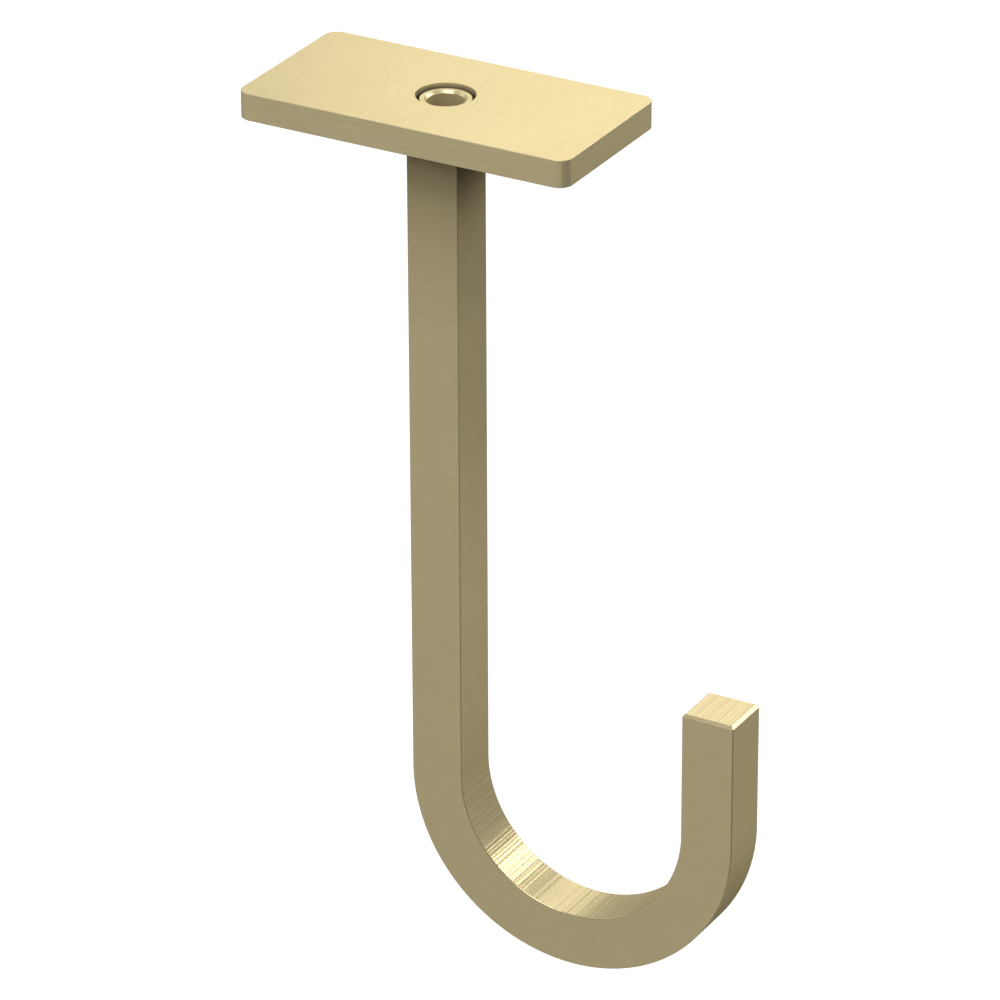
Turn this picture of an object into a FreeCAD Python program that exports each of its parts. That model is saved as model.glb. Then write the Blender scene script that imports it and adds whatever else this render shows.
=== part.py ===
"""Ceiling hook: a flat mounting plate on the turned neck of a bent square bar.

Millimetres. Origin at the centre of the plate's top face, which lies on the ceiling.
+Z points up into the ceiling, and the hook opens towards +X.
"""
import FreeCAD, Part
import Sketcher

import math
import os

SIZES = {
    # Plate
    "plate_length": 64.0,
    "plate_width": 32.0,
    "plate_thickness": 5.0,
    "plate_corner_radius": 2.5,
    "plate_edge_break": 0.15,
    # Square bar and its bend
    "bar_side": 10.0,
    "bar_edge_radius": 0.3,
    "overall_drop": 160.0,
    "bend_inner_radius": 22.0,
    "tip_rise": 24.0,
    "tip_chamfer": 0.5,
    # Turned neck that passes up into the plate
    "neck_diameter": 9.0,
    "neck_recess": 0.7,
    "neck_clearance": 0.75,
    # Stepped bore for the ceiling stud
    "lead_in_diameter": 6.6,
    "lead_in_depth": 5.5,
    "lead_in_chamfer": 0.45,
    "thread_core_diameter": 5.0,
    "thread_depth": 18.0,
    "drill_point_angle": 118.0,
    # How far a cutting outline reaches past the metal that it cuts
    "cut_overrun": 1.0,
}

# Places in the model, as expressions of those sizes
SHOULDER_Z = "-sizes.plate_thickness"
NECK_TOP_Z = "-sizes.neck_recess"
NECK_HEIGHT = "sizes.plate_thickness - sizes.neck_recess"
PLATE_HOLE = "sizes.neck_diameter + 2 * sizes.neck_clearance"
BEND_RADIUS = "sizes.bend_inner_radius + sizes.bar_side / 2"
BEND_CENTRE_DROP = "sizes.overall_drop - sizes.bend_inner_radius - sizes.bar_side"
TIP_DROP = f"{BEND_CENTRE_DROP} - sizes.tip_rise"
TIP_INNER_X = "2 * sizes.bend_inner_radius + sizes.bar_side / 2"
TIP_OUTER_X = "2 * sizes.bend_inner_radius + sizes.bar_side * 3 / 2"
CHAMFER_CUT = "sizes.tip_chamfer + 2 * sizes.cut_overrun"

# Sketch references: the origin, the vertical axis, and a curve's ends and centre
ORIGIN = (-1, 1)
VERTICAL_AXIS = -2
START, END, CENTRE = range(1, 4)


def make_sheet(doc):
    """The driving dimensions, one aliased cell each."""
    sheet = doc.addObject("Spreadsheet::Sheet", "sizes")
    for row, (name, value) in enumerate(SIZES.items(), start=1):
        sheet.set(f"A{row}", name)
        sheet.set(f"B{row}", str(value))
        sheet.setAlias(f"B{row}", name)
    doc.recompute()


def make_body(doc, label):
    body = doc.addObject("PartDesign::Body", label)
    body.Label = label
    return body


def make_sketch(body, name, role, offset=None):
    """A sketch on one of the body's origin planes, moved along its normal by an expression."""
    sketch = body.newObject("Sketcher::SketchObject", name)
    plane = next(item for item in body.Origin.OriginFeatures if item.Role == role)
    sketch.AttachmentSupport = (plane, [""])
    sketch.MapMode = "FlatFace"
    if offset:
        sketch.setExpression("AttachmentOffset.Base.z", offset)
    return sketch


def number(sketch, expression):
    """What an expression of the sizes comes to."""
    return float(sketch.evalExpression(expression))


def fix(sketch, kind, *where):
    sketch.addConstraint(Sketcher.Constraint(kind, *where))


def drive(sketch, name, expression, kind, *where):
    """A dimension of the sketch that follows an expression of the sizes."""
    constraint = Sketcher.Constraint(kind, *where, number(sketch, expression))
    index = sketch.addConstraint(constraint)
    sketch.renameConstraint(index, name)
    sketch.setExpression(f"Constraints.{name}", expression)


def point(x, y):
    return FreeCAD.Vector(x, y, 0)


def add_line(sketch, start, end):
    return sketch.addGeometry(Part.LineSegment(point(*start), point(*end)))


def add_arc(sketch, centre, radius, first_degree, last_degree):
    circle = Part.Circle(point(*centre), FreeCAD.Vector(0, 0, 1), radius)
    arc = Part.ArcOfCircle(circle, math.radians(first_degree), math.radians(last_degree))
    return sketch.addGeometry(arc)


def add_closed_outline(sketch, corners):
    """Straight lines from corner to corner and back to the first."""
    following = corners[1:] + corners[:1]
    lines = [add_line(sketch, start, end) for start, end in zip(corners, following)]
    for line, next_line in zip(lines, lines[1:] + lines[:1]):
        fix(sketch, "Coincident", line, END, next_line, START)
    return lines


def add_circle(sketch, diameter):
    """A circle round the sketch's origin."""
    radius = number(sketch, diameter) / 2
    circle = sketch.addGeometry(Part.Circle(point(0, 0), FreeCAD.Vector(0, 0, 1), radius))
    fix(sketch, "Coincident", circle, CENTRE, *ORIGIN)
    drive(sketch, "diameter", diameter, "Diameter", circle)


def add_rounded_rectangle(sketch, length, width, radius):
    """A rectangle round the sketch's origin, with equal corner arcs."""
    a = number(sketch, length) / 2
    b = number(sketch, width) / 2
    r = number(sketch, radius)
    bottom = add_line(sketch, (r - a, -b), (a - r, -b))
    right = add_line(sketch, (a, r - b), (a, b - r))
    top = add_line(sketch, (a - r, b), (r - a, b))
    left = add_line(sketch, (-a, b - r), (-a, r - b))
    corners = [
        add_arc(sketch, (a - r, r - b), r, -90, 0),
        add_arc(sketch, (a - r, b - r), r, 0, 90),
        add_arc(sketch, (r - a, b - r), r, 90, 180),
        add_arc(sketch, (r - a, r - b), r, 180, 270),
    ]
    sides = [bottom, right, top, left]
    for side, corner, next_side in zip(sides, corners, sides[1:] + sides[:1]):
        fix(sketch, "Tangent", side, END, corner, START)
        fix(sketch, "Tangent", corner, END, next_side, START)
    for side in (bottom, top):
        fix(sketch, "Horizontal", side)
    for side in (right, left):
        fix(sketch, "Vertical", side)
    for corner in corners[1:]:
        fix(sketch, "Equal", corners[0], corner)
    fix(sketch, "Symmetric", corners[0], CENTRE, corners[2], CENTRE, *ORIGIN)
    drive(sketch, "length", length, "DistanceX", left, START, right, START)
    drive(sketch, "width", width, "DistanceY", bottom, START, top, START)
    drive(sketch, "corner_radius", radius, "Radius", corners[0])


def add_corner_cut(sketch, name, x_sign, edge_x, edge_drop):
    """A right-angled triangle whose long side chamfers a top corner at edge_x.

    The two short sides lie outside the metal, past it by the overrun.
    """
    leg = number(sketch, CHAMFER_CUT)
    over = number(sketch, "sizes.cut_overrun")
    x = number(sketch, edge_x) + x_sign * over
    y = over - number(sketch, edge_drop)
    level, slope, upright = add_closed_outline(sketch, [(x, y), (x - x_sign * leg, y), (x, y - leg)])
    fix(sketch, "Horizontal", level)
    fix(sketch, "Vertical", upright)
    fix(sketch, "Equal", level, upright)
    drive(sketch, f"{name}_leg", CHAMFER_CUT, "Distance", level)
    reach = f"abs({edge_x} + {x_sign} * sizes.cut_overrun)"
    outward = (ORIGIN, (level, START)) if x > 0 else ((level, START), ORIGIN)
    drive(sketch, f"{name}_x", reach, "DistanceX", *outward[0], *outward[1])
    drive(sketch, f"{name}_drop", f"{edge_drop} - sizes.cut_overrun", "DistanceY", level, START, *ORIGIN)


def add_feature(body, kind, name, sketch, **settings):
    feature = body.newObject(f"PartDesign::{kind}", name)
    feature.Profile = sketch
    for setting, value in settings.items():
        setattr(feature, setting, value)
    return feature


def level_faces(shape):
    """Names of a shape's flat faces that look straight up or down."""
    names = []
    for index, face in enumerate(shape.Faces, start=1):
        normal = face.normalAt(0, 0)
        if isinstance(face.Surface, Part.Plane) and abs(normal.z) > 0.999:
            names.append(f"Face{index}")
    return names


def make_mounting_plate(doc):
    """Flat plate under the ceiling, with a clearance hole for the bar's neck."""
    body = make_body(doc, "mounting_plate")
    outline = make_sketch(body, "plate_outline", "XY_Plane")
    add_rounded_rectangle(outline, "sizes.plate_length", "sizes.plate_width", "sizes.plate_corner_radius")
    blank = add_feature(body, "Pad", "plate_blank", outline, Reversed=True)
    blank.setExpression("Length", "sizes.plate_thickness")
    doc.recompute()

    edges = body.newObject("PartDesign::Chamfer", "plate_edges")
    edges.Base = (blank, level_faces(blank.Shape))
    edges.setExpression("Size", "sizes.plate_edge_break")
    doc.recompute()

    hole = make_sketch(body, "plate_hole_outline", "XY_Plane")
    add_circle(hole, PLATE_HOLE)
    add_feature(body, "Pocket", "plate_hole", hole, Type="ThroughAll")
    doc.recompute()
    return body


def add_bar(doc, body):
    """Square bar along a J: down, round the bend, and up to the tip."""
    section = make_sketch(body, "bar_section", "XY_Plane", SHOULDER_Z)
    add_rounded_rectangle(section, "sizes.bar_side", "sizes.bar_side", "sizes.bar_edge_radius")

    path = make_sketch(body, "bar_path", "XZ_Plane")
    radius = number(path, BEND_RADIUS)
    top = number(path, SHOULDER_Z)
    bend = -number(path, BEND_CENTRE_DROP)
    tip = -number(path, TIP_DROP)
    shank = add_line(path, (0, top), (0, bend))
    turn = add_arc(path, (radius, bend), radius, 180, 360)
    rise = add_line(path, (2 * radius, bend), (2 * radius, tip))
    fix(path, "Vertical", shank)
    fix(path, "Vertical", rise)
    fix(path, "Tangent", shank, END, turn, START)
    fix(path, "Tangent", turn, END, rise, START)
    fix(path, "PointOnObject", shank, START, VERTICAL_AXIS)
    drive(path, "shoulder_drop", "sizes.plate_thickness", "DistanceY", shank, START, *ORIGIN)
    drive(path, "bend_centre_drop", BEND_CENTRE_DROP, "DistanceY", turn, CENTRE, *ORIGIN)
    drive(path, "bend_radius", BEND_RADIUS, "Radius", turn)
    drive(path, "tip_rise", "sizes.tip_rise", "DistanceY", rise, START, rise, END)
    doc.recompute()

    add_feature(body, "AdditivePipe", "bent_bar", section, Spine=(path, ["Edge1", "Edge2", "Edge3"]))
    doc.recompute()


def chamfer_tip(doc, body):
    """Chamfers along the four top edges of the tip."""
    across = make_sketch(body, "tip_chamfers_across", "XZ_Plane")
    add_corner_cut(across, "inner", -1, TIP_INNER_X, TIP_DROP)
    add_corner_cut(across, "outer", 1, TIP_OUTER_X, TIP_DROP)
    cut = add_feature(body, "Pocket", "tip_inner_outer", across, SideType="Symmetric")
    cut.setExpression("Length", "sizes.bar_side + 2 * sizes.cut_overrun")
    doc.recompute()

    along = make_sketch(body, "tip_chamfers_along", "YZ_Plane", f"{TIP_OUTER_X} + sizes.cut_overrun")
    add_corner_cut(along, "near", -1, "-sizes.bar_side / 2", TIP_DROP)
    add_corner_cut(along, "far", 1, "sizes.bar_side / 2", TIP_DROP)
    cut = add_feature(body, "Pocket", "tip_near_far", along)
    cut.setExpression("Length", "sizes.bar_side + 2 * sizes.cut_overrun")
    doc.recompute()


def add_neck(doc, body):
    """Round neck turned on the bar's upper end; the plate sits on the square shoulder round it."""
    outline = make_sketch(body, "neck_outline", "XY_Plane", SHOULDER_Z)
    add_circle(outline, "sizes.neck_diameter")
    neck = add_feature(body, "Pad", "neck", outline)
    neck.setExpression("Length", NECK_HEIGHT)
    doc.recompute()


def bore_neck(doc, body):
    """Stepped bore down the bar: chamfered mouth, plain lead-in, tapping hole with a drilled end."""
    half = make_sketch(body, "bore_section", "XZ_Plane")
    top = number(half, NECK_TOP_Z)
    lead_r = number(half, "sizes.lead_in_diameter") / 2
    core_r = number(half, "sizes.thread_core_diameter") / 2
    chamfer = number(half, "sizes.lead_in_chamfer")
    step = top - number(half, "sizes.lead_in_depth")
    end = step - number(half, "sizes.thread_depth")
    half_angle = math.radians(number(half, "sizes.drill_point_angle") / 2)
    step_foot = step - (lead_r - core_r) / math.tan(half_angle)
    point_end = end - core_r / math.tan(half_angle)
    lines = add_closed_outline(half, [
        (0, top),
        (lead_r + chamfer, top),
        (lead_r, top - chamfer),
        (lead_r, step),
        (core_r, step_foot),
        (core_r, end),
        (0, point_end),
    ])
    mouth, funnel, lead_in, step_cone, core, drill_point, axis = lines
    fix(half, "PointOnObject", mouth, START, VERTICAL_AXIS)
    fix(half, "Horizontal", mouth)
    for upright in (lead_in, core, axis):
        fix(half, "Vertical", upright)
    drive(half, "mouth_drop", "sizes.neck_recess", "DistanceY", mouth, START, *ORIGIN)
    drive(half, "lead_in_radius", "sizes.lead_in_diameter / 2", "DistanceX", *ORIGIN, lead_in, START)
    drive(half, "core_radius", "sizes.thread_core_diameter / 2", "DistanceX", *ORIGIN, core, START)
    drive(half, "chamfer_width", "sizes.lead_in_chamfer", "DistanceX", funnel, END, funnel, START)
    drive(half, "chamfer_depth", "sizes.lead_in_chamfer", "DistanceY", funnel, END, funnel, START)
    drive(half, "lead_in_depth", "sizes.lead_in_depth", "DistanceY", lead_in, END, mouth, START)
    drive(half, "thread_depth", "sizes.thread_depth", "DistanceY", core, END, lead_in, END)
    for name, cone in (("step_angle", step_cone), ("point_angle", drill_point)):
        drive(half, name, "sizes.drill_point_angle / 2 * 1 deg", "Angle", cone, START, axis, END)
    doc.recompute()

    groove = add_feature(body, "Groove", "stud_bore", half, ReferenceAxis=(half, ["V_Axis"]))
    groove.Angle = 360
    doc.recompute()


def make_hook_bar(doc):
    body = make_body(doc, "hook_bar")
    add_bar(doc, body)
    chamfer_tip(doc, body)
    add_neck(doc, body)
    bore_neck(doc, body)
    return body


def check(doc, bodies):
    """Every object recomputed without a fault, and every sub-part is one valid solid."""
    for item in doc.Objects:
        if {"Invalid", "Error"} & set(item.State):
            raise RuntimeError(f"{item.Name} failed: {item.State}")
    for body in bodies:
        if body.Shape.isNull() or not body.Shape.isValid() or len(body.Shape.Solids) != 1:
            raise RuntimeError(f"{body.Label} is not one valid solid")


def main():
    doc = FreeCAD.newDocument("ceiling_hook")
    make_sheet(doc)
    bodies = [make_mounting_plate(doc), make_hook_bar(doc)]
    doc.recompute()
    check(doc, bodies)
    os.makedirs("parts", exist_ok=True)
    for body in bodies:
        body.Shape.exportStep(f"parts/{body.Label}.step")


main()
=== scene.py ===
"""Brushed brass ceiling hook, dressed for the studio.

Metres, in the part's own frame: the origin is the centre of the plate's top face, +Z points up
into the ceiling and the hook opens towards +X. The plate and the bar are meshed anew, finer than
the solids and of the same form, so that every surface carries brush coordinates: "brush" U runs
across the brush lines and V along them.
"""
import math

import bmesh
import bpy
from mathutils import Matrix, Vector
from mathutils.geometry import tessellate_polygon


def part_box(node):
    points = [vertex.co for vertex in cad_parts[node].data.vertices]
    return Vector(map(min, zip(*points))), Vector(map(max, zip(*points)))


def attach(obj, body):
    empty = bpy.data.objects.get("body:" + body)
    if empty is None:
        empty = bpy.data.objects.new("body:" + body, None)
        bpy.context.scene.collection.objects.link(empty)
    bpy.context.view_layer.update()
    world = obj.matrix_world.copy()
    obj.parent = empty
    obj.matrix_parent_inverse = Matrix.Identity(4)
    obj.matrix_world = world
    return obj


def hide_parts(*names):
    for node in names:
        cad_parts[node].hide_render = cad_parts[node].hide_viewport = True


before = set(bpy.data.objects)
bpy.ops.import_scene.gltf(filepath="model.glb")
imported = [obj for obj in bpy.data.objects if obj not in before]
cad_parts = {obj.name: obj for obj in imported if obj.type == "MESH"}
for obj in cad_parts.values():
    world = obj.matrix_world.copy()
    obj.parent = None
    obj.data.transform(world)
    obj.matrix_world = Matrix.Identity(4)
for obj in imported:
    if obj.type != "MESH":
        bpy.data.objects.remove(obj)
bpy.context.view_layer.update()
plate_low, plate_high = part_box("mounting_plate")
bar_low, bar_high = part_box("hook_bar")

# Plate
PLATE_CORNER_RADIUS = 0.0025
PLATE_EDGE_RADIUS = 0.00015
PLATE_HOLE_RADIUS = 0.00525

# Square bar, bent in the XZ plane about the middle of its box
BAR_HALF = bar_high.y
BAR_EDGE_RADIUS = 0.0003
BEND_CENTRE_X = (bar_low.x + bar_high.x) / 2
BEND_RADIUS = (bar_high.x - bar_low.x) / 2 - BAR_HALF
BEND_CENTRE_Z = bar_low.z + BEND_RADIUS + BAR_HALF
TIP_RISE = 0.024
TIP_CHAMFER = 0.0005

# Turned neck and the bore for the ceiling stud
NECK_RADIUS = 0.0045
NECK_TOP = bar_high.z
SHOULDER = plate_low.z
LEAD_IN_RADIUS = 0.0033
LEAD_IN_CHAMFER = 0.00045
LEAD_IN_DEPTH = 0.0055
THREAD_CORE_RADIUS = 0.0025
THREAD_GROOVE = 0.0005
THREAD_PITCH = 0.001
THREAD_DEPTH = 0.018
DRILL_POINT_ANGLE = math.radians(118)
# Widths of the thread's floor and of each flank, as shares of the pitch
THREAD_FLOOR = 0.25
THREAD_FLANK = 0.25

# How finely round stretches are cut
CORNER_STEPS = 6
PLATE_CORNER_STEPS = 14
EDGE_STEPS = 3
BEND_STEPS = 144
ROUND_STEPS = 96
STEPS_PER_PITCH = 10
SAME_PLACE = 1e-7
QUARTERS = ((1, 1), (-1, 1), (-1, -1), (1, -1))

# How deep the brush lines are on each stretch, as a share of the deepest
LINES_ON_SIDES = 0.003
LINES_ON_PLATE = 0.015
LINES_ON_TIP = 0.35
LINES_IN_BEND = 0.35
TIP_FINENESS = 1.4
BEND_BLEND = math.radians(12)

# How bright-worn the edges are, as a share of the most, or below zero how dull
WEAR_ON_PLATE = -0.8
WEAR_ON_BAR = 0.6
WEAR_ON_TIP = 0.85

# Brass: two tints, the tint of glancing light, and gloss and metal with their change by wear
BRASS_DARK = (0.612, 0.514, 0.291, 1)
BRASS_LIGHT = (0.646, 0.547, 0.315, 1)
RIM_TINT = (0.25, 0.21, 0.14, 1)
ROUGHNESS_LOW = 0.275
ROUGHNESS_HIGH = 0.295
WORN_ROUGHNESS = -0.06
METAL = 0.4
WORN_METAL = 0.32
ANISOTROPY = 0.2
LINE_DEPTH = 0.0002

# Brush patterns: lines to the metre, their length, the noise's detail and where it starts
BRUSH_LINES = (1500, 0.3, 0.3, 7)
BRUSH_GRAIN = (2600, 0.005, 1, 11)
BRUSH_MOTTLE = (60, 0.02, 2, 13)
GRAIN_SHARE = 0.7
NOISE_MIDDLE = 0.5
NOISE_REACH = 0.2

# Painted shade, darkening the brass's colour under the plate, in crevices and in the brush grooves: how
# near metal shelters a place, and the colour left at two levels of openness or height
PLATE_REACH = 0.038
CREVICE_REACH = 0.0015
PAINTED_DEEP_SHADE = ((0.645, 0.1), (0.865, 1))
PAINTED_LIGHT_SHADE = ((0.94, 0.88), (1, 1))
PAINTED_CREVICE_SHADE = ((0.3, 0.05), (0.7, 1))
PAINTED_GROOVE_SHADE = ((0.38, 0.72), (0.5, 1))

# Camera, read from the photograph
CAMERA_AZIMUTH = math.radians(29.535)
CAMERA_ELEVATION = math.radians(26.244)
CAMERA_ROLL = math.radians(-0.215)
CAMERA_TARGET = Vector((0.010259, 0, -0.074126))
CAMERA_DISTANCE = 1.07233
CAMERA_LENS = 221.94
CAMERA_SENSOR = 36
CAMERA_NEAR = 0.05
CAMERA_FAR = 60

# Studio: a dim room, soft light from above and pale paper far below, white behind the hook
ROOM_GREY = 0.15
OVERHEAD_STRENGTH = 1.2
OVERHEAD_ANGLE = math.radians(40)
SOFTBOX_DISTANCE = 0.9
FLAG_GREY = 0.01
PAPER_DARK = 0.79
PAPER_LIGHT = 0.81
PAPER_MOTTLE = 300
FLOOR_DROP = 1.0
FLOOR_RADIUS = 12.0
FLOOR_GLOW = 0.7
WHITE_PLACE = (-0.96, 1.72)
WHITE_RADIUS = 0.78
WHITE_FADE = 0.5


# Meshes


def add_object(name, data):
    item = bpy.data.objects.new(name, data)
    bpy.context.scene.collection.objects.link(item)
    return item


def mesh_object(name, mesh, material):
    """An object made from a finished bmesh, which is freed."""
    data = bpy.data.meshes.new(name)
    mesh.to_mesh(data)
    mesh.free()
    data.materials.append(material)
    return add_object(name, data)


class Corner:
    """One corner of a face: where it is, the smooth surface's normal, its brush place and its finish."""

    def __init__(self, place, normal, across, along, lines=LINES_ON_SIDES, wear=0.0):
        self.place = Vector(place)
        self.normal = Vector(normal).normalized()
        self.brush = (across, along)
        self.lines = lines
        self.wear = wear


class Skin:
    """A closed mesh, gathered patch by patch."""

    def __init__(self):
        self.mesh = bmesh.new()
        self.brush = self.mesh.loops.layers.uv.new("brush")
        self.normal = self.mesh.loops.layers.float_vector.new("true_normal")
        self.lines = self.mesh.loops.layers.float.new("brush_lines")
        self.wear = self.mesh.loops.layers.float.new("edge_wear")

    def face(self, corners):
        """A face that turns its outside to the side that its corners' normals point to."""
        kept = [c for i, c in enumerate(corners) if (c.place - corners[i - 1].place).length > SAME_PLACE]
        if len(kept) < 3:
            return
        turn = sum(
            ((kept[i].place - kept[0].place).cross(kept[i + 1].place - kept[0].place)
             for i in range(1, len(kept) - 1)),
            Vector(),
        )
        if turn.dot(sum((c.normal for c in kept), Vector())) < 0:
            kept.reverse()
        face = self.mesh.faces.new([self.mesh.verts.new(c.place) for c in kept])
        face.smooth = True
        for loop, corner in zip(face.loops, kept):
            loop[self.brush].uv = corner.brush
            loop[self.normal] = corner.normal
            loop[self.lines] = corner.lines
            loop[self.wear] = corner.wear

    def grid(self, rows):
        """Four-sided faces between each row of corners and the next."""
        for row, following in zip(rows, rows[1:]):
            for i in range(len(row) - 1):
                self.face([row[i], row[i + 1], following[i + 1], following[i]])

    def flat(self, outline, hole, corner_at):
        """A flat face inside an outline, round a hole. corner_at gives a corner for a point."""
        points = [*outline, *hole]
        for triangle in tessellate_polygon([outline, hole]):
            self.face([corner_at(points[i]) for i in triangle])

    def make(self, name, material):
        bmesh.ops.remove_doubles(self.mesh, verts=self.mesh.verts, dist=SAME_PLACE)
        piece = mesh_object(name, self.mesh, material)
        data = piece.data
        true_normals = [tuple(item.vector) for item in data.attributes["true_normal"].data]
        data.attributes.remove(data.attributes["true_normal"])
        data.normals_split_custom_set(true_normals)
        return piece


def circle(radius, z):
    turns = [math.tau * i / ROUND_STEPS for i in range(ROUND_STEPS)]
    return [Vector((radius * math.cos(turn), radius * math.sin(turn), z)) for turn in turns]


def turned(skin, profile):
    """A surface turned round the Z axis from a profile of (radius, z), with air on its right."""
    across = 0.0
    for (r0, z0), (r1, z1) in zip(profile, profile[1:]):
        run = math.hypot(r1 - r0, z1 - z0)
        side = Vector(((z1 - z0) / run, (r0 - r1) / run))
        rows = []
        for r, z, u in ((r0, z0, across), (r1, z1, across + run)):
            row = []
            for i in range(ROUND_STEPS + 1):
                turn = math.tau * i / ROUND_STEPS
                out = Vector((math.cos(turn), math.sin(turn), 0))
                place = out * r + Vector((0, 0, z))
                row.append(Corner(place, out * side.x + Vector((0, 0, side.y)), u, turn * NECK_RADIUS))
            rows.append(row)
        skin.grid(rows)
        across += run


def rounded_rectangle(half_x, half_y, radius, steps):
    """Points and outward directions round a rectangle with rounded corners, anticlockwise."""
    points = []
    for quarter, (sx, sy) in enumerate(QUARTERS):
        centre = Vector((sx * (half_x - radius), sy * (half_y - radius)))
        for i in range(steps + 1):
            turn = math.pi / 2 * (quarter + i / steps)
            out = Vector((math.cos(turn), math.sin(turn)))
            points.append((centre + out * radius, out))
    return points


def edge_wear(first, second):
    """How worn an edge is where the normal lies between two faces: 1 halfway, 0 on either face."""
    return min(abs(first), abs(second)) * math.sqrt(2)


def make_plate(material):
    """The mounting plate: brushed along Y on its faces and round its rim."""
    skin = Skin()
    half_x, half_y = plate_high.x, plate_high.y
    outline = rounded_rectangle(half_x, half_y, PLATE_CORNER_RADIUS, PLATE_CORNER_STEPS)
    outline.append(outline[0])
    quarter = [math.pi / 2 * i / EDGE_STEPS for i in range(EDGE_STEPS + 1)]
    edge = [(math.sin(turn), math.cos(turn), plate_high.z - PLATE_EDGE_RADIUS, 1) for turn in quarter]
    edge += [(math.cos(turn), math.sin(turn), plate_low.z + PLATE_EDGE_RADIUS, -1) for turn in quarter]
    rows = []
    for outward, upward, z, way in edge:
        row = []
        along = 0.0
        before = outline[0][0]
        for point, out in outline:
            along += (point - before).length
            before = point
            at = point - out * PLATE_EDGE_RADIUS * (1 - outward)
            height = z + way * upward * PLATE_EDGE_RADIUS
            normal = (out.x * outward, out.y * outward, way * upward)
            wear = WEAR_ON_PLATE * edge_wear(outward, upward)
            row.append(Corner((at.x, at.y, height), normal, height, along, LINES_ON_SIDES, wear))
        rows.append(row)
    skin.grid(rows)
    for row, z, up in ((rows[0], plate_high.z, 1), (rows[-1], plate_low.z, -1)):
        ring = [corner.place for corner in row[:-1]]
        ring = [p for i, p in enumerate(ring) if (p - ring[i - 1]).length > SAME_PLACE]
        skin.flat(ring, circle(PLATE_HOLE_RADIUS, z),
                  lambda p, up=up: Corner(p, (0, 0, up), p.x, p.y, LINES_ON_PLATE))
    turned(skin, [(PLATE_HOLE_RADIUS, plate_high.z), (PLATE_HOLE_RADIUS, plate_low.z)])
    return skin.make("mounting_plate_brushed", material)


def bar_path():
    """Stations along the bar: place, direction to the bend's inside, length so far, depth of lines."""
    top = SHOULDER
    stations = [(Vector((0, 0, top)), Vector((1, 0, 0)), 0.0, LINES_ON_SIDES)]
    shank = top - BEND_CENTRE_Z
    centre = Vector((BEND_CENTRE_X, 0, BEND_CENTRE_Z))
    for i in range(BEND_STEPS + 1):
        turn = math.pi * i / BEND_STEPS
        inward = Vector((math.cos(turn), 0, math.sin(turn)))
        share = min(turn, math.pi - turn, BEND_BLEND) / BEND_BLEND
        lines = LINES_ON_SIDES + (LINES_IN_BEND - LINES_ON_SIDES) * share
        stations.append((centre - inward * BEND_RADIUS, inward, shank + turn * BEND_RADIUS, lines))
    return stations


def make_bar(material):
    """The bent bar, its eased tip, its turned neck and the bore for the stud."""
    skin = Skin()
    section = rounded_rectangle(BAR_HALF, BAR_HALF, BAR_EDGE_RADIUS, CORNER_STEPS)
    section.append(section[0])
    along = [0.0]
    for (point, _), (before, _) in zip(section[1:], section):
        along.append(along[-1] + (point - before).length)

    rows = []
    stations = bar_path()
    for place, inward, across, bend_lines in stations:
        row = []
        for (point, out), v in zip(section, along):
            offset = inward * point.x + Vector((0, point.y, 0))
            normal = inward * out.x + Vector((0, out.y, 0))
            lines = bend_lines if abs(out.x) > abs(out.y) else LINES_ON_SIDES
            wear = WEAR_ON_BAR * edge_wear(out.x, out.y)
            row.append(Corner(place + offset, normal, across, v, lines, wear))
        rows.append(row)
    rows.append(tip_edge(stations[-1], section, along))
    skin.grid(rows)
    close_tip(skin, rows[-1], stations[-1])

    shoulder = [corner.place for corner in rows[0][:-1]]
    skin.flat(shoulder, circle(NECK_RADIUS, SHOULDER), lambda p: Corner(p, (0, 0, 1), p.x, p.y))
    make_neck(skin)
    return skin.make("hook_bar_brushed", material)


def tip_edge(station, section, along):
    """The row where the sides end, at the foot of the tip's chamfers."""
    place, inward, across, _ = station
    row = []
    for (point, out), v in zip(section, along):
        rise = TIP_RISE - TIP_CHAMFER + BAR_HALF - max(abs(point.x), abs(point.y))
        at = place + inward * point.x + Vector((0, point.y, rise))
        normal = inward * out.x + Vector((0, out.y, 0))
        wear = WEAR_ON_BAR * edge_wear(out.x, out.y)
        row.append(Corner(at, normal, across + rise, v, LINES_ON_SIDES, wear))
    return row


def close_tip(skin, tip_row, station):
    """The flat end, brushed along Y, and the four bright-cut chamfers round it."""
    place, inward, across, _ = station
    half = BAR_HALF - TIP_CHAMFER
    ends = [place + inward * half * sx + Vector((0, half * sy, TIP_RISE)) for sx, sy in QUARTERS]
    skin.face([Corner(p, (0, 0, 1), p.x * TIP_FINENESS, p.y, LINES_ON_TIP) for p in ends])
    ring = [corner.place for corner in tip_row[:-1]]
    for side, end in enumerate(ends):
        first = side * (CORNER_STEPS + 1) + CORNER_STEPS // 2
        foot = [ring[(first + i) % len(ring)] for i in range(CORNER_STEPS + 2)]
        top = [ends[(side + 1) % len(ends)], end]
        out = (top[0] + top[1]) / 2 - place - Vector((0, 0, TIP_RISE))
        way = out.normalized().cross(Vector((0, 0, 1)))
        normal = out.normalized() + Vector((0, 0, 1))
        skin.face([Corner(p, normal, across + p.z, p.dot(way), 0.0, WEAR_ON_TIP) for p in foot + top])


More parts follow.
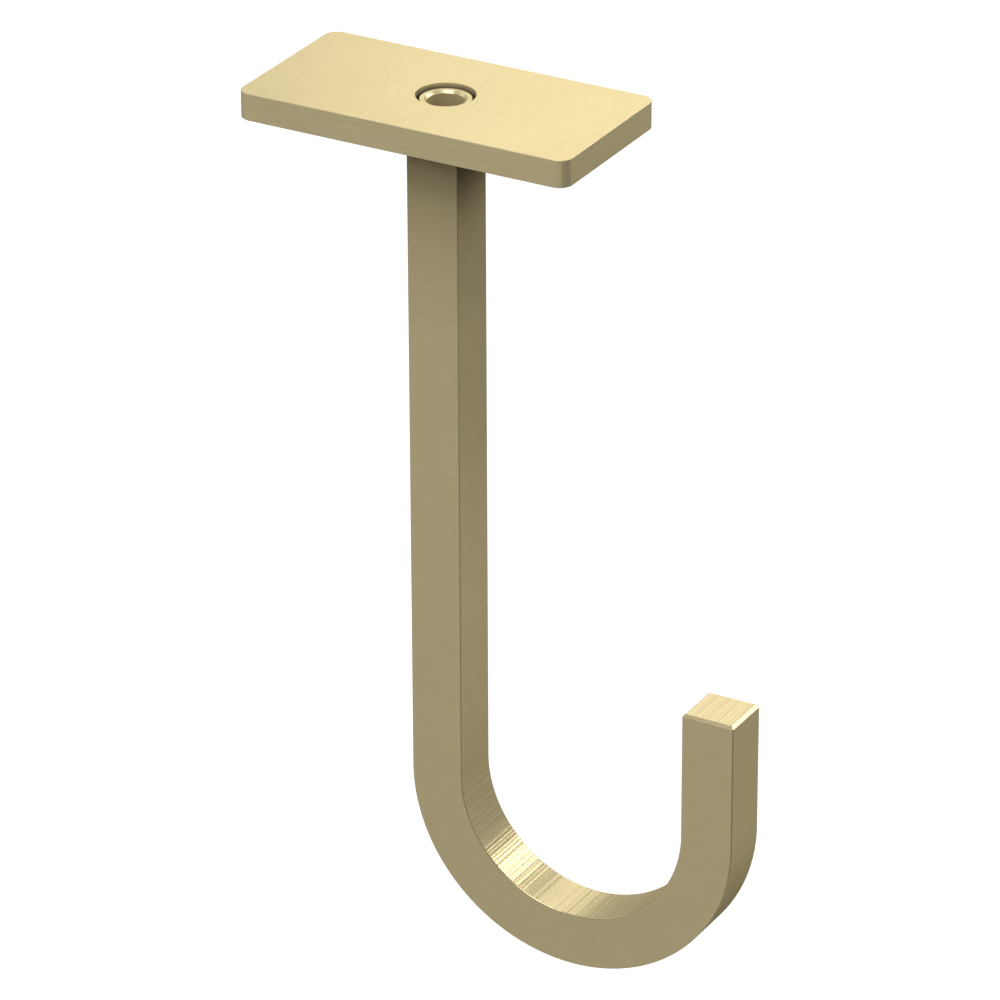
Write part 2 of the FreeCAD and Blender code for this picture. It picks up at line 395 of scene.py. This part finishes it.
def make_neck(skin):
    """The neck's outside, its rim and lead-in, the tapped hole and the drill's point."""
    lead_in_top = NECK_TOP - LEAD_IN_CHAMFER
    lead_in_foot = NECK_TOP - LEAD_IN_DEPTH
    step = (LEAD_IN_RADIUS - THREAD_CORE_RADIUS) / math.tan(DRILL_POINT_ANGLE / 2)
    thread_top = lead_in_foot - step
    thread_foot = lead_in_foot - THREAD_DEPTH
    point = thread_foot - THREAD_CORE_RADIUS / math.tan(DRILL_POINT_ANGLE / 2)
    turned(skin, [
        (NECK_RADIUS, SHOULDER),
        (NECK_RADIUS, NECK_TOP),
        (LEAD_IN_RADIUS + LEAD_IN_CHAMFER, NECK_TOP),
        (LEAD_IN_RADIUS, lead_in_top),
        (LEAD_IN_RADIUS, lead_in_foot),
        (THREAD_CORE_RADIUS, thread_top),
    ])
    cut_thread(skin, thread_top, thread_foot)
    turned(skin, [(THREAD_CORE_RADIUS, thread_foot), (0.0, point)])


def cut_thread(skin, top, foot):
    """The tapped hole's wall: a groove that winds down and runs out at both ends."""
    levels = round((top - foot) / THREAD_PITCH * STEPS_PER_PITCH)
    reach = THREAD_PITCH / STEPS_PER_PITCH

    def radius(turn, z):
        wave = (z / THREAD_PITCH - turn / math.tau) % 1
        from_edge = THREAD_FLOOR / 2 + THREAD_FLANK - abs(wave - 0.5)
        groove = min(max(from_edge / THREAD_FLANK, 0), 1)
        fade = min((top - z) / THREAD_PITCH, (z - foot) / THREAD_PITCH, 1)
        return THREAD_CORE_RADIUS + THREAD_GROOVE * groove * max(fade, 0)

    rows = []
    for level in range(levels + 1):
        z = top + (foot - top) * level / levels
        row = []
        for i in range(ROUND_STEPS + 1):
            turn = math.tau * (i % ROUND_STEPS) / ROUND_STEPS
            out = Vector((math.cos(turn), math.sin(turn), 0))
            slope = (radius(turn, z + reach) - radius(turn, z - reach)) / (2 * reach)
            place = out * radius(turn, z) + Vector((0, 0, z))
            row.append(Corner(place, Vector((0, 0, slope)) - out, -z, turn * THREAD_CORE_RADIUS))
        rows.append(row)
    skin.grid(rows)


# Materials


def new_material(name):
    material = bpy.data.materials.new(name)
    material.use_nodes = True
    nodes = material.node_tree.nodes
    return material, nodes, material.node_tree.links, nodes["Principled BSDF"]


def grey(level):
    return (level, level, level, 1)


def reckon(nodes, links, operation, *values):
    """One step of arithmetic. Each value is a number or an output."""
    step = nodes.new("ShaderNodeMath")
    step.operation = operation
    for socket, value in zip(step.inputs, values):
        if isinstance(value, (int, float)):
            socket.default_value = value
        else:
            links.new(value, socket)
    return step.outputs[0]


def streaks(nodes, links, source, pattern, shift):
    """Noise drawn out along the brush lines, by one of the brush patterns."""
    lines, length, detail, start = pattern
    mapping = nodes.new("ShaderNodeMapping")
    mapping.inputs["Scale"].default_value = (lines, 1 / length, 1)
    mapping.inputs["Location"].default_value = [start + shift] * 3
    links.new(source, mapping.inputs["Vector"])
    noise = nodes.new("ShaderNodeTexNoise")
    noise.noise_dimensions = "2D"
    noise.inputs["Scale"].default_value = 1
    noise.inputs["Detail"].default_value = detail
    links.new(mapping.outputs["Vector"], noise.inputs["Vector"])
    return noise.outputs["Fac"]


def spread(nodes, links, source, first, last):
    """A value read off a straight line between two points, and level beyond them."""
    spreader = nodes.new("ShaderNodeMapRange")
    for socket, number in zip(("From Min", "To Min", "From Max", "To Max"), (*first, *last)):
        spreader.inputs[socket].default_value = number
    links.new(source, spreader.inputs["Value"])
    return spreader.outputs["Result"]


def mesh_value(nodes, name):
    """A number that the mesh carries at each corner."""
    reader = nodes.new("ShaderNodeAttribute")
    reader.attribute_name = name
    return reader.outputs["Fac"]


def below_the_plate(nodes, links):
    """1 on what lies lower than the plate, 0 on the rest."""
    place = nodes.new("ShaderNodeTexCoord")
    split = nodes.new("ShaderNodeSeparateXYZ")
    links.new(place.outputs["Object"], split.inputs["Vector"])
    return reckon(nodes, links, "LESS_THAN", split.outputs["Z"], SHOULDER)


def blend(nodes, links, first, second, share):
    """A share of the second value in the first."""
    mix = nodes.new("ShaderNodeMix")
    mix.inputs["Factor"].default_value = share
    links.new(first, mix.inputs["A"])
    links.new(second, mix.inputs["B"])
    return mix.outputs["Result"]


def tint_between(nodes, links, dark, light, share):
    """A colour between two, by an output that runs from 0 to 1."""
    tint = nodes.new("ShaderNodeMix")
    tint.data_type = "RGBA"
    tint.inputs["A"].default_value = dark
    tint.inputs["B"].default_value = light
    links.new(share, tint.inputs["Factor"])
    return tint.outputs["Result"]


def darken(nodes, links, colour, value, where=None):
    """A colour times a value, or only where a mask is 1."""
    mix = nodes.new("ShaderNodeMix")
    mix.data_type = "RGBA"
    mix.blend_type = "MULTIPLY"
    mix.inputs["Factor"].default_value = 1
    if where:
        links.new(where, mix.inputs["Factor"])
    links.new(colour, mix.inputs["A"])
    links.new(value, mix.inputs["B"])
    return mix.outputs["Result"]


def shelter(nodes, reach):
    """How open a place is: 1 in the open, less where other metal stands within reach."""
    openness = nodes.new("ShaderNodeAmbientOcclusion")
    openness.inputs["Distance"].default_value = reach
    return openness.outputs["AO"]


def brushed_brass(name, shift, contrast):
    """Satin champagne brass: brush lines in its relief, grain in its colour and gloss, worn edges, and
    painted shade under the plate, in crevices and in the brush grooves.
    """
    material, nodes, links, shader = new_material(name)
    uv = nodes.new("ShaderNodeUVMap")
    uv.uv_map = "brush"
    patterns = (BRUSH_LINES, BRUSH_GRAIN, BRUSH_MOTTLE)
    lines, grain, mottle = [streaks(nodes, links, uv.outputs["UV"], p, shift) for p in patterns]
    line_depth = mesh_value(nodes, "brush_lines")

    shades = blend(nodes, links, mottle, grain, GRAIN_SHARE)
    half = NOISE_REACH / contrast
    share = spread(nodes, links, shades, (NOISE_MIDDLE - half, 0), (NOISE_MIDDLE + half, 1))
    colour = tint_between(nodes, links, BRASS_DARK, BRASS_LIGHT, share)
    # Painted shade under the plate: below it, the colour darkens the more the plate shelters the bar
    below = below_the_plate(nodes, links)
    openness = shelter(nodes, PLATE_REACH)
    # Painted shade in crevices: the colour darkens where other metal stands very close
    painted_crevice_shade = spread(nodes, links, shelter(nodes, CREVICE_REACH), *PAINTED_CREVICE_SHADE)
    # Painted shade in the brush grooves: the colour darkens along the low lines of the relief, as deep
    # as the mesh's line depth
    painted_groove_shade = spread(nodes, links, lines, *PAINTED_GROOVE_SHADE)
    colour = darken(nodes, links, colour, spread(nodes, links, openness, *PAINTED_DEEP_SHADE), below)
    colour = darken(nodes, links, colour, spread(nodes, links, openness, *PAINTED_LIGHT_SHADE), below)
    colour = darken(nodes, links, colour, painted_crevice_shade)
    colour = darken(nodes, links, colour, painted_groove_shade, line_depth)
    links.new(colour, shader.inputs["Base Color"])

    smoothest = (NOISE_MIDDLE - NOISE_REACH, ROUGHNESS_LOW)
    roughest = (NOISE_MIDDLE + NOISE_REACH, ROUGHNESS_HIGH)
    gloss = spread(nodes, links, grain, smoothest, roughest)
    wear = mesh_value(nodes, "edge_wear")
    roughness = reckon(nodes, links, "MULTIPLY_ADD", wear, WORN_ROUGHNESS, gloss)
    links.new(roughness, shader.inputs["Roughness"])
    metal = reckon(nodes, links, "MULTIPLY_ADD", wear, WORN_METAL, METAL)
    links.new(metal, shader.inputs["Metallic"])
    bump = nodes.new("ShaderNodeBump")
    links.new(line_depth, bump.inputs["Strength"])
    bump.inputs["Distance"].default_value = LINE_DEPTH
    links.new(lines, bump.inputs["Height"])
    links.new(bump.outputs["Normal"], shader.inputs["Normal"])

    tangent = nodes.new("ShaderNodeTangent")
    tangent.direction_type = "UV_MAP"
    tangent.uv_map = "brush"
    links.new(tangent.outputs["Tangent"], shader.inputs["Tangent"])
    shader.inputs["Specular IOR Level"].default_value = 0
    shader.inputs["Specular Tint"].default_value = RIM_TINT
    shader.inputs["Anisotropic"].default_value = ANISOTROPY
    return material


def floor_paper():
    """Matt pale studio paper, faintly mottled, which turns white behind the hook.

    The white shows to the camera, in reflections and through clear things, and lights nothing else.
    """
    material, nodes, links, shader = new_material("floor_paper")
    noise = nodes.new("ShaderNodeTexNoise")
    noise.inputs["Scale"].default_value = PAPER_MOTTLE
    tint = tint_between(nodes, links, grey(PAPER_DARK), grey(PAPER_LIGHT), noise.outputs["Fac"])
    links.new(tint, shader.inputs["Base Color"])
    shader.inputs["Roughness"].default_value = 1
    shader.inputs["Specular IOR Level"].default_value = 0

    rays = nodes.new("ShaderNodeLightPath").outputs
    seen = reckon(nodes, links, "MAXIMUM", rays["Is Camera Ray"], rays["Is Glossy Ray"])
    seen = reckon(nodes, links, "MAXIMUM", seen, rays["Is Transmission Ray"])
    place = nodes.new("ShaderNodeTexCoord")
    away = nodes.new("ShaderNodeVectorMath")
    away.operation = "DISTANCE"
    away.inputs[1].default_value = (*WHITE_PLACE, 0)
    links.new(place.outputs["Object"], away.inputs[0])
    inner = (WHITE_RADIUS, FLOOR_GLOW)
    outer = (WHITE_RADIUS + WHITE_FADE, 0)
    patch = spread(nodes, links, away.outputs["Value"], inner, outer)
    links.new(reckon(nodes, links, "MULTIPLY", seen, patch), shader.inputs["Emission Strength"])
    shader.inputs["Emission Color"].default_value = grey(1)
    material.cycles.emission_sampling = "NONE"
    return material


# Studio


def make_floor():
    mesh = bmesh.new()
    bmesh.ops.create_circle(mesh, cap_ends=True, segments=ROUND_STEPS, radius=FLOOR_RADIUS)
    floor = mesh_object("floor", mesh, floor_paper())
    floor.location.z = -FLOOR_DROP


def sky_direction(azimuth, elevation):
    """A direction from degrees. Azimuth 0 is +X and 90 is +Y."""
    turn, rise = math.radians(azimuth), math.radians(elevation)
    return Vector((math.cos(turn) * math.cos(rise), math.sin(turn) * math.cos(rise), math.sin(rise)))


def softbox(name, azimuth, elevation, width, height, radiance):
    """A rectangular lamp that faces the hook and glows with a given radiance."""
    lamp = bpy.data.lights.new(name, "AREA")
    lamp.shape = "RECTANGLE"
    lamp.size = width
    lamp.size_y = height
    lamp.energy = radiance * math.pi * width * height
    holder = add_object(name, lamp)
    away = sky_direction(azimuth, elevation)
    holder.location = CAMERA_TARGET + away * SOFTBOX_DISTANCE
    holder.rotation_mode = "QUATERNION"
    holder.rotation_quaternion = away.to_track_quat("Z", "Y")
    holder.visible_camera = False


def black_flag(name, azimuth, elevation, distance, width, height):
    """A black card that only reflections show."""
    material, _, _, shader = new_material(name)
    shader.inputs["Base Color"].default_value = grey(FLAG_GREY)
    shader.inputs["Roughness"].default_value = 1
    mesh = bmesh.new()
    bmesh.ops.create_grid(mesh, size=0.5)
    flag = mesh_object(name, mesh, material)
    away = sky_direction(azimuth, elevation)
    flag.matrix_world = Matrix.LocRotScale(
        CAMERA_TARGET + away * distance, away.to_track_quat("Z", "Y"), Vector((width, height, 1)))
    flag.visible_camera = False
    flag.visible_diffuse = False
    flag.visible_shadow = False


def overhead_light():
    """Even, soft light from straight above, on the floor and the upward faces."""
    lamp = bpy.data.lights.new("overhead", "SUN")
    lamp.energy = OVERHEAD_STRENGTH
    lamp.angle = OVERHEAD_ANGLE
    add_object("overhead", lamp)


def light_room():
    """Dim, even light from all round."""
    world = bpy.data.worlds.new("room")
    world.use_nodes = True
    world.node_tree.nodes["Background"].inputs["Color"].default_value = grey(ROOM_GREY)
    bpy.context.scene.world = world


def make_camera():
    back = Vector((
        math.sin(CAMERA_AZIMUTH) * math.cos(CAMERA_ELEVATION),
        -math.cos(CAMERA_AZIMUTH) * math.cos(CAMERA_ELEVATION),
        math.sin(CAMERA_ELEVATION),
    ))
    right = Vector((math.cos(CAMERA_AZIMUTH), math.sin(CAMERA_AZIMUTH), 0))
    upright = Matrix((right, back.cross(right), back)).transposed()
    data = bpy.data.cameras.new("camera")
    data.lens = CAMERA_LENS
    data.sensor_width = CAMERA_SENSOR
    data.clip_start = CAMERA_NEAR
    data.clip_end = CAMERA_FAR
    camera = add_object("camera", data)
    rolled = upright @ Matrix.Rotation(CAMERA_ROLL, 3, "Z")
    camera.matrix_world = Matrix.LocRotScale(
        CAMERA_TARGET + back * CAMERA_DISTANCE, rolled.to_quaternion(), None)
    bpy.context.scene.camera = camera


plate = make_plate(brushed_brass("plate_brass", shift=0.0, contrast=1.8))
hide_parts("mounting_plate")
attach(plate, "root")

bar = make_bar(brushed_brass("bar_brass", shift=3.0, contrast=0.8))
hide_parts("hook_bar")
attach(bar, "root")

make_floor()
light_room()
overhead_light()
softbox("key", azimuth=62.5, elevation=28, width=0.2, height=0.25, radiance=10)
softbox("back", azimuth=107, elevation=33, width=0.48, height=0.36, radiance=2.6)
softbox("front", azimuth=275, elevation=60, width=0.55, height=0.45, radiance=6.1)
softbox("high_right", azimuth=50, elevation=38, width=0.4, height=0.4, radiance=4.0)
softbox("left", azimuth=190, elevation=30, width=0.5, height=0.5, radiance=1.5)
black_flag("edge_flag", azimuth=354, elevation=-26, distance=0.8, width=1.28, height=0.65)
black_flag("shank_flag", azimuth=62, elevation=-14, distance=0.185, width=0.065, height=0.072)
black_flag("rim_flag", azimuth=92, elevation=-48, distance=0.3, width=0.12, height=0.1)
make_camera()
bpy.context.scene.view_settings.view_transform = "Standard"
